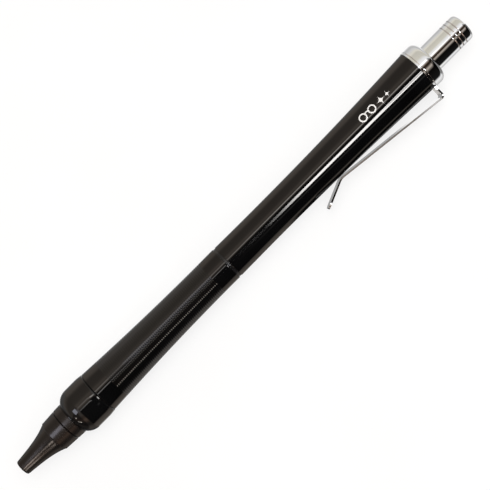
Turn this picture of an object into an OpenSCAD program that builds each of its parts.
// Click-action lens cleaning pen, lying on its side on a flat surface with its clip down.
// Stations are distances along the pen's own axis from the mouth of the nose, in millimetres.

/* [Pen] */
// Overall length, from the mouth of the nose to the end of the push button
pen_length = 140; // [138:0.5:142]
// How far the button can be pushed in
button_travel = 8; // [6:0.5:8]
// Radial clearance of sliding pieces
slide_gap = 0.08; // [0.05:0.01:0.1]
// Radial clearance of screwed and pressed pieces
press_gap = 0.03; // [0.02:0.01:0.04]

/* [Nose] */
// Outer radius of the mouth of the nose
mouth_r = 1.86; // [1.8:0.02:1.95]
// Radius of the rounded lip at the mouth
mouth_lip = 0.4; // [0.3:0.05:0.45]
// Radius of the hole that the cleaning tip comes out of
mouth_bore_r = 1.35; // [1.32:0.01:1.4]
// Station where the flared cone meets the shoulder
flare_end = 9.95; // [9.8:0.05:10.1]
// Radius at the front of the shoulder
shoulder_r = 3.88; // [3.84:0.01:3.95]
// Station of the joint behind the nose cone
nose_end = 13.8; // [13.5:0.1:14]
// Radius of the nose cone at that joint
nose_end_r = 4.08; // [4:0.01:4.15]
// Outer radius of the threaded spigot behind the nose
spigot_r = 3.4; // [3.3:0.02:3.5]
// Rear end of the threaded spigot
spigot_end = 30.5; // [28:0.5:32]

/* [Front ring] */
// Station of the front face of the ring
ring_start = 15.95; // [15.8:0.05:16.1]
// Outer radius of the ring, the thickest part of the pen
ring_r = 5.6; // [5.5:0.02:5.7]
// Radius of the rounded front of the ring, seen from the side
ring_round = 3.665; // [3.5:0.005:3.8]
// Station where the ring's cylinder begins
ring_flat_start = 19; // [18.9:0.1:19.2]
// Station where the ring's cylinder ends
ring_flat_end = 22.2; // [21.5:0.1:22.6]
// Station of the joint behind the ring
ring_end = 24.1; // [23.9:0.1:24.3]
// Radius of the ring at that joint
ring_end_r = 5.41; // [5.38:0.01:5.45]

/* [Barrels] */
// Radius of the grip barrel at its slimmest
grip_r = 4.33; // [4.3:0.01:4.4]
// Station where the grip barrel is slimmest
grip_waist = 62; // [60:0.5:64]
// Radius of the grip barrel's long curve, seen from the side
grip_curve = 690; // [680:5:720]
// First grip groove
groove_start = 28.6; // [28:0.2:30]
// Last grip groove
groove_end = 60; // [55:0.5:61]
// Spacing of the grip grooves
groove_pitch = 0.506; // [0.45:0.002:0.6]
// Width of a grip groove
groove_width = 0.24; // [0.2:0.01:0.3]
// Depth of a grip groove
groove_depth = 0.07; // [0.04:0.01:0.1]
// Station of the joint between the two barrels
mid_joint = 65; // [64.5:0.1:65.5]
// Radius of the upper barrel at its waist
waist_r = 4.21; // [4.18:0.01:4.25]
// Station of the waist of the upper barrel
waist = 79; // [77:0.5:81]
// Radius of the upper barrel's long curve, seen from the side
upper_curve = 1000; // [990:5:1030]
// Bore of both barrels
barrel_bore_r = 3.7; // [3.66:0.01:3.74]

/* [Clip] */
// Station of the front face of the clip's ring, where the upper barrel ends
clip_start = 125.3; // [125.2:0.05:125.4]
// Thickness of the spring steel strip
clip_t = 0.4; // [0.35:0.05:0.45]
// Width of the strip at its root
clip_w = 4.8; // [4.4:0.1:5]
// Width of the strip at its tail
clip_tail_w = 3.9; // [3.6:0.1:4.2]
// Middle radius of the bend at the root
clip_bend = 0.75; // [0.6:0.05:0.9]
// Angle between the strip and the pen's axis
clip_slope = 6.55; // [6.4:0.01:6.7]
// Station where the strip comes closest to the barrel
clip_contact = 96.7; // [96:0.1:98]
// Gap between the strip and the barrel there
clip_contact_gap = 0.16; // [0.1:0.02:0.3]
// Middle radius of the curve at the contact
clip_contact_bend = 3; // [2.5:0.1:3.5]
// Angle of the flared tail to the pen's axis
clip_tail_slope = 23.4; // [20:0.1:26]
// Length of the flared tail
clip_tail = 6.6; // [6:0.1:7]
// Distance of the strip's flexing line from the pen's axis
clip_pivot_reach = 6.9; // [6.7:0.05:7]

/* [Rear end] */
// Outer radius of the rear collar and the clip's ring
collar_r = 5.4; // [5.38:0.01:5.45]
// Station of the front edge of the rear collar
collar_start = 125.9; // [125.85:0.05:126]
// Rear end of the rear collar
collar_end = 129.2; // [129:0.1:129.4]
// Radius of the collar's rounded rear edge
collar_round = 1.57; // [1.4:0.01:1.6]
// Radius of the push button
button_r = 3.37; // [3.3:0.01:3.4]
// Radius of the button's rounded rim
button_round = 1; // [0.8:0.05:1.1]
// Number of finger grooves round the button
button_grooves = 3; // [2:1:4]
// Station of the first finger groove
button_groove_start = 135.6; // [135:0.1:136]
// Spacing of the finger grooves
button_groove_pitch = 1.06; // [1:0.01:1.1]

/* [Hidden] */
$fn = 96;

// The joints between outer pieces are marked by small bevels on both sides.
joint_bevel = 0.17;
joint_depth = 0.2;
curve_steps = 24;

// Cleaning tip and its carrier
pad_r = 1.25;
pad_start = 1.6;
pad_end = 5.2;
pad_dome = 1.5;
peg_r = 0.6;
peg_start = 3.4;
stem_r = 1.15;
stem_end = 24;
tube_start = 19;
tube_end = 97.5;
tube_r = 1.77;
tube_bore_r = 1.2;
plug_end = 101;
plug_r = 1.9;
plug_shank = 5.5;
pivot_r = 1;
pivot_depth = 2;

// Compound sleeve, spring and their seats in the nose
sleeve_start = 2.4;
sleeve_end = 5.9;
sleeve_r = 1.77;
chamber_start = 9.6;
chamber_r = 2.75;
washer_t = 0.5;
spring_start = chamber_start + washer_t;
spring_end = 27;
spring_r = 2.2;
wire_r = 0.2;
spring_turns = 11;
wire_sides = 6;
turn_steps = 14;

// Threaded bush in front, coupler in the middle
bush_r = 4.2;
bush_end = 32.1;
coupler_flange_r = 4.18;
coupler_flange_w = 0.6;
coupler_reach = 8;
coupler_bore_r = 2.9;
guide_reach = 5;

// Click mechanism
cam_start = 95;
cam_end = 117.6;
cam_bore_r = 3;
rib_r = 2.45;
rib_start = 103;
rib_end = 116;
cam_teeth = 8;
slot_w = 1.2;
lugs = 4;
lug_w = 1;
lug_r = cam_bore_r - slide_gap;
latch_travel = 6;
rotor_end = rib_start + latch_travel;
rotor_r = 2.3;
fin_length = 3;
crown_depth = 0.8;
crown_gap = 0.2;
crown_bore_r = 1.2;
plunger_start = rotor_end - crown_depth + crown_gap;
plunger_r = rib_r - slide_gap;
lug_length = 4.9;
core_r = 2.9;
shell_start = cam_end + button_travel + 0.4;
shell_bore_r = core_r + press_gap;
shell_end_wall = 1;

// Rear collar and its guide bush
socket_start = 117.8;
socket_r = 4.3;
guide_r = 3.85;
guide_bore_r = button_r + slide_gap;
guide_start = 118;
guide_end = 127.6;
collar_lip_r = 3.5;
collar_seat_r = 5;

// The clip's strip, seen from the side in (station, distance from the axis)
clip_mid = clip_start + clip_t / 2;
clip_end = clip_start + clip_t;
barrel_at_contact = barrel_radius(clip_contact);
bump_low = barrel_at_contact + clip_contact_gap + clip_t / 2;
bump_centre = [clip_contact, bump_low + clip_contact_bend];
bump_to = bump_centre + clip_contact_bend * [sin(clip_slope), -cos(clip_slope)];
bump_from = bump_centre - clip_contact_bend * [sin(clip_tail_slope), cos(clip_tail_slope)];
bend_centre_s = clip_mid - clip_bend;
bend_top_s = bend_centre_s - clip_bend * sin(clip_slope);
bend_top_r = bump_to[1] + (bend_top_s - bump_to[0]) * tan(clip_slope);
bend_centre = [bend_centre_s, bend_top_r - clip_bend * cos(clip_slope)];
clip_reach = bend_centre[1] + clip_bend + clip_t / 2;
flex_gap = 0.04;

// Rest pose: the pen has rolled over until the edge of its clip meets the surface.
rest_roll = asin(collar_r / norm([clip_reach, clip_w / 2])) - atan(clip_w / 2 / clip_reach);
axis_height = ring_r;
clip_side = clip_reach * cos(rest_roll) + clip_w / 2 * sin(rest_roll);
axis_offset = (clip_side - ring_r) / 2;

function arc(centre, r, from, to, steps = 16) =
    [for (i = [0:steps]) let (a = from + (to - from) * i / steps) centre + r * [cos(a), sin(a)]];

// Outer radius at a station, of the nose's cone and of the two barrels.
function flare_radius(s) = mouth_r + 0.1 * s + 0.00022 * pow(s, 3.6);
function grip_radius(s) = grip_r + pow(s - grip_waist, 2) / (2 * grip_curve);
function barrel_radius(s) = waist_r + pow(s - waist, 2) / (2 * upper_curve);
function steps_between(from, to, steps) = [for (i = [0:steps]) from + (to - from) * i / steps];

module in_rest_pose() {
    translate([-pen_length / 2, axis_offset, axis_height]) rotate([rest_roll, 0, 0]) children();
}

// Turns an outline of [radius, station] points about the pen's axis.
module turned() {
    rotate([0, 90, 0]) rotate_extrude() children();
}

module tube(from, to, r_out, r_in = 0) {
    turned() translate([r_in, from]) square([r_out - r_in, to - from]);
}

// Repeats a shape evenly round the pen's axis.
module around(count, turn = 0) {
    for (i = [0:count - 1]) rotate([turn + 360 * i / count, 0, 0]) children();
}

// A straight key on the pen's axis, standing out along +Z.
module key(from, to, width, r_out) {
    translate([from, -width / 2, 0]) cube([to - from, width, r_out]);
}

module nose_cone() {
    outline = concat(
        [[mouth_bore_r + 0.1, 0]],
        arc([flare_radius(mouth_lip) - mouth_lip, mouth_lip], mouth_lip, -90, 0),
        [for (s = steps_between(mouth_lip, flare_end, curve_steps)) [flare_radius(s), s]],
        [[shoulder_r, flare_end + 0.2],
            [nose_end_r, nose_end - joint_bevel], [nose_end_r - joint_depth, nose_end],
            [spigot_r, nose_end], [spigot_r, spigot_end], [chamber_r, spigot_end],
            [chamber_r, chamber_start], [sleeve_r + press_gap, chamber_start],
            [sleeve_r + press_gap, sleeve_start], [mouth_bore_r, sleeve_start],
            [mouth_bore_r, 0.1]]);
    color([0.13, 0.12, 0.12]) in_rest_pose() turned() polygon(outline);
}

// Porous sleeve that holds the dry cleaning compound round the retracted pad.
module compound_sleeve() {
    color([0.2, 0.2, 0.22]) in_rest_pose() tube(sleeve_start, sleeve_end, sleeve_r, pad_r + 0.05);
}

module nose_collar() {
    outline = [[spigot_r + press_gap, nose_end], [nose_end_r - joint_depth, nose_end],
        [nose_end_r + 0.04, nose_end + joint_bevel], [nose_end_r + 0.11, ring_start - 0.1],
        [nose_end_r, ring_start], [spigot_r + press_gap, ring_start]];
    color([0.13, 0.12, 0.12]) in_rest_pose() turned() polygon(outline);
}

module front_ring() {
    front_turn = asin((ring_flat_start - ring_start - 0.1) / ring_round);
    tail = ring_end - joint_bevel;
    outline = concat(
        [[spigot_r + press_gap, ring_start], [nose_end_r, ring_start]],
        arc([ring_r - ring_round, ring_flat_start], ring_round, -front_turn, 0, curve_steps),
        [for (s = steps_between(ring_flat_end, tail, 8))
            [ring_r - (ring_r - ring_end_r) * pow((s - ring_flat_end) / (tail - ring_flat_end), 1.5), s]],
        [[ring_end_r - joint_depth, ring_end], [spigot_r + press_gap, ring_end]]);
    color([0.06, 0.06, 0.06]) in_rest_pose() turned() polygon(outline);
}

// Threaded bush that the nose screws into.
module front_bush() {
    color("goldenrod") in_rest_pose()
        tube(ring_end + 0.1, bush_end - 0.1, bush_r, spigot_r + press_gap);
}

module grip_barrel() {
    last_groove = floor((groove_end - groove_start) / groove_pitch);
    front = ring_end + joint_bevel;
    rear = mid_joint - coupler_flange_w / 2;
    outline = concat(
        [[bush_r + press_gap, ring_end], [ring_end_r - joint_depth, ring_end]],
        [for (s = steps_between(front, groove_start - groove_pitch / 2, 6)) [grip_radius(s), s]],
        [for (i = [0:last_groove], edge = [-1, 0, 1])
            let (s = groove_start + i * groove_pitch + edge * groove_width / 2)
                [grip_radius(s) - (edge == 0 ? groove_depth : 0), s]],
        [for (s = steps_between(groove_end + groove_pitch / 2, rear - 0.1, 5)) [grip_radius(s), s]],
        [[grip_r - 0.1, rear], [barrel_bore_r, rear], [barrel_bore_r, bush_end],
            [bush_r + press_gap, bush_end]]);
    color([0.06, 0.06, 0.06]) in_rest_pose() turned() polygon(outline);
}

// Threaded coupler between the barrels. Its flange is the dark line seen at their joint.
module barrel_coupler() {
    half = coupler_flange_w / 2;
    body_r = barrel_bore_r - press_gap;
    outline = [[coupler_bore_r, mid_joint - coupler_reach], [body_r, mid_joint - coupler_reach],
        [body_r, mid_joint - half], [coupler_flange_r, mid_joint - half],
        [coupler_flange_r, mid_joint + half], [body_r, mid_joint + half],
        [body_r, mid_joint + coupler_reach], [coupler_bore_r, mid_joint + coupler_reach]];
    color([0.1, 0.1, 0.1]) in_rest_pose() turned() polygon(outline);
}

// Keeps the long carrier tube centred.
module tube_guide() {
    color("white") in_rest_pose()
        tube(mid_joint - guide_reach, mid_joint + guide_reach, coupler_bore_r - press_gap,
            tube_r + slide_gap);
}

module upper_barrel() {
    front = mid_joint + coupler_flange_w / 2;
    outline = concat(
        [[barrel_bore_r, front], [barrel_radius(front) - 0.1, front]],
        [for (s = steps_between(front + 0.1, clip_start - 0.05, curve_steps * 2)) [barrel_radius(s), s]],
        [[barrel_radius(clip_start) - 0.05, clip_start], [socket_r, clip_start],
            [socket_r, socket_start], [barrel_bore_r, socket_start]]);
    color([0.06, 0.06, 0.06]) in_rest_pose() turned() polygon(outline);
}

// Fixed sleeve of the click mechanism, with guide slots and slanted teeth between them.
module cam_sleeve() {
    color("ivory") in_rest_pose() {
        tube(cam_start, rib_start, barrel_bore_r - press_gap, cam_bore_r);
        difference() {
            tube(rib_start, cam_end, barrel_bore_r - press_gap, rib_r);
            intersection() {
                around(cam_teeth) key(rib_start, rib_end, slot_w, cam_bore_r);
                tube(rib_start, rib_end, cam_bore_r);
            }
            intersection() {
                around(cam_teeth, 180 / cam_teeth)
                    translate([rib_start, 0, rib_r - 0.2]) rotate([0, 0, 35])
                        translate([-2, -1, 0]) cube([2, 3, 1]);
                tube(rib_start - 1, rib_end, cam_bore_r);
            }
        }
    }
}

// One side of the clip's strip, seen from the side, at a distance from its middle line.
function strip_side(d) =
    let (bump = arc(bump_centre, clip_contact_bend - d, -90 + clip_slope, -90 - clip_tail_slope))
    concat([[clip_mid + d, clip_pivot_reach + flex_gap]],
        arc(bend_centre, clip_bend + d, 0, 90 + clip_slope),
        bump,
        [bump[len(bump) - 1] + clip_tail * [-cos(clip_tail_slope), sin(clip_tail_slope)]]);

function reversed(list) = [for (i = [len(list) - 1:-1:0]) list[i]];

module clip_ring() {
    color("silver") in_rest_pose() difference() {
        union() {
            tube(clip_start, clip_start + clip_t, collar_r);
            translate([clip_start, -clip_pivot_reach, -clip_w / 2])
                cube([clip_t, clip_pivot_reach, clip_w]);
        }
        tube(clip_start - 1, clip_start + clip_t + 1, socket_r);
    }
}

module clip_arm() {
    tail_s = bump_from[0] - clip_tail * cos(clip_tail_slope);
    round = 1.2;
    half = [clip_w / 2, clip_tail_w / 2];
    side_view = concat(strip_side(clip_t / 2), reversed(strip_side(-clip_t / 2)));
    half_plan = concat([[clip_end, half[0]], [bend_centre_s, half[0]]],
        arc([tail_s + round, half[1] - round], round, 90, 180, 8));
    plan = concat(half_plan, reversed([for (p = half_plan) [p[0], -p[1]]]));
    color("silver") in_rest_pose() intersection() {
        translate([0, 0, -clip_w]) linear_extrude(2 * clip_w)
            polygon([for (p = side_view) [p[0], -p[1]]]);
        rotate([90, 0, 0]) linear_extrude(2 * clip_reach) polygon(plan);
    }
}

module rear_collar() {
    bore_r = guide_r + press_gap;
    outline = concat(
        [[bore_r, guide_start], [socket_r - press_gap, guide_start],
            [socket_r - press_gap, clip_end], [collar_seat_r, clip_end],
            [collar_seat_r, collar_start], [collar_r - 0.1, collar_start],
            [collar_r, collar_start + 0.1]],
        arc([collar_r - collar_round, collar_end - collar_round], collar_round, 0, 90),
        [[collar_lip_r, collar_end], [collar_lip_r, guide_end], [bore_r, guide_end]]);
    color("silver") in_rest_pose() turned() polygon(outline);
}

// Plastic bush that keeps the button from rattling in the collar.
module guide_bush() {
    color([0.2, 0.2, 0.2]) in_rest_pose() tube(guide_start, guide_end, guide_r, guide_bore_r);
}

module push_button() {
    groove = 0.15;
    outline = concat(
        [[shell_bore_r, shell_start], [button_r - 0.1, shell_start], [button_r, shell_start + 0.1]],
        [for (i = [0:button_grooves - 1], edge = [-1, 0, 1])
            [button_r - (edge == 0 ? groove : 0),
                button_groove_start + i * button_groove_pitch + edge * groove]],
        arc([button_r - button_round, pen_length - button_round], button_round, 0, 90),
        [[0, pen_length], [0, pen_length - shell_end_wall],
            [shell_bore_r, pen_length - shell_end_wall]]);
    color("silver") in_rest_pose() turned() polygon(outline);
}

// V-shaped notches across the end of a tube, which leave a crown of teeth.
module crown_notches(at, turn) {
    side = crown_depth * sqrt(2);
    around(cam_teeth, turn) translate([at, 0, rotor_r]) rotate([0, 0, 45])
        cube([side, side, 2 * rotor_r], center = true);
}

// Slides with the button. Its lugs keep it from turning and from falling out.
module plunger() {
    color("white") in_rest_pose() {
        difference() {
            tube(plunger_start, shell_start + 0.1, plunger_r, crown_bore_r);
            crown_notches(plunger_start, 0);
        }
        tube(shell_start + 0.1, pen_length - shell_end_wall - 0.1, core_r, crown_bore_r);
        intersection() {
            around(lugs) key(rib_end - lug_length, rib_end - 0.05, lug_w, lug_r);
            tube(rib_start, rib_end, lug_r, plunger_r - 0.1);
        }
    }
}

// Turned by the crown at each click, so that its fins land on the ribs or slide between them.
module rotor() {
    fin_start = rotor_end - fin_length;
    fin_end = rotor_end - crown_depth / 2;
    fin_slant = lug_w * tan(35);
    core = [[0, plug_end - pivot_depth + 0.1], [pivot_r - slide_gap, plug_end - pivot_depth + 0.1],
        [pivot_r - slide_gap, plug_end], [rotor_r, plug_end], [rotor_r, rotor_end],
        [crown_bore_r, rotor_end], [crown_bore_r, plug_end + 2], [0, plug_end + 2]];
    color("cornflowerblue") in_rest_pose() {
        difference() {
            turned() polygon(core);
            crown_notches(rotor_end, 180 / cam_teeth);
        }
        intersection() {
            around(lugs) linear_extrude(lug_r + 1)
                polygon([[fin_start, -lug_w / 2], [fin_end, -lug_w / 2],
                    [fin_end - fin_slant, lug_w / 2], [fin_start, lug_w / 2]]);
            tube(plug_end, rotor_end, lug_r, rotor_r - 0.1);
        }
    }
}

module tube_plug() {
    shank_r = tube_bore_r - press_gap;
    outline = [[0, tube_end - plug_shank], [shank_r, tube_end - plug_shank], [shank_r, tube_end],
        [plug_r, tube_end], [plug_r, plug_end], [pivot_r, plug_end],
        [pivot_r, plug_end - pivot_depth], [0, plug_end - pivot_depth]];
    color("white") in_rest_pose() turned() polygon(outline);
}

module carrier_tube() {
    color("whitesmoke") in_rest_pose() tube(tube_start, tube_end, tube_r, tube_bore_r);
}

// Pressed on the carrier tube as the spring's moving seat.
module spring_collar() {
    color("white") in_rest_pose()
        tube(spring_end, spring_end + 1.2, chamber_r - 0.2, tube_r + press_gap);
}

// Returns the tip and the button when the click mechanism lets go.
module return_spring() {
    rings = spring_turns * turn_steps;
    from = spring_start + wire_r + 0.02;
    to = spring_end - wire_r - 0.02;
    points = [for (i = [0:rings], j = [0:wire_sides - 1])
        let (turn = 360 * i / turn_steps, side = 360 * j / wire_sides,
            reach = spring_r + wire_r * cos(side))
                [from + (to - from) * i / rings + wire_r * sin(side),
                    reach * cos(turn), reach * sin(turn)]];
    sides = [for (i = [0:rings - 1], j = [0:wire_sides - 1])
        let (a = i * wire_sides + j, b = i * wire_sides + (j + 1) % wire_sides)
            [a, b, b + wire_sides, a + wire_sides]];
    ends = [[for (j = [wire_sides - 1:-1:0]) j],
        [for (j = [0:wire_sides - 1]) rings * wire_sides + j]];
    color("gray") in_rest_pose() polyhedron(points, concat(sides, ends));
}

module spring_washer() {
    color("silver") in_rest_pose()
        tube(chamber_start, spring_start, chamber_r - 0.05, stem_r + 0.25);
}

module tip_holder() {
    peg = peg_r - press_gap;
    outline = [[0, peg_start], [peg, peg_start], [peg, pad_end], [stem_r, pad_end],
        [stem_r, tube_start - 0.6], [tube_r - 0.07, tube_start - 0.6],
        [tube_r - 0.07, tube_start], [stem_r, tube_start], [stem_r, stem_end], [0, stem_end]];
    color([0.15, 0.15, 0.15]) in_rest_pose() turned() polygon(outline);
}

// Soft pad on a peg, charged with dry compound each time it draws back.
module cleaning_pad() {
    outline = concat(
        [for (a = steps_between(90, 0, 10))
            [pad_r * cos(a), pad_start + pad_dome * (1 - sin(a))]],
        [[pad_r, pad_end], [peg_r, pad_end], [peg_r, peg_start], [0, peg_start]]);
    color([0.1, 0.1, 0.1]) in_rest_pose() turned() polygon(outline);
}

nose_cone();
compound_sleeve();
nose_collar();
front_ring();
front_bush();
grip_barrel();
barrel_coupler();
tube_guide();
upper_barrel();
cam_sleeve();
clip_ring();
clip_arm();
rear_collar();
guide_bush();
push_button();
plunger();
rotor();
tube_plug();
carrier_tube();
spring_collar();
return_spring();
spring_washer();
tip_holder();
cleaning_pad();
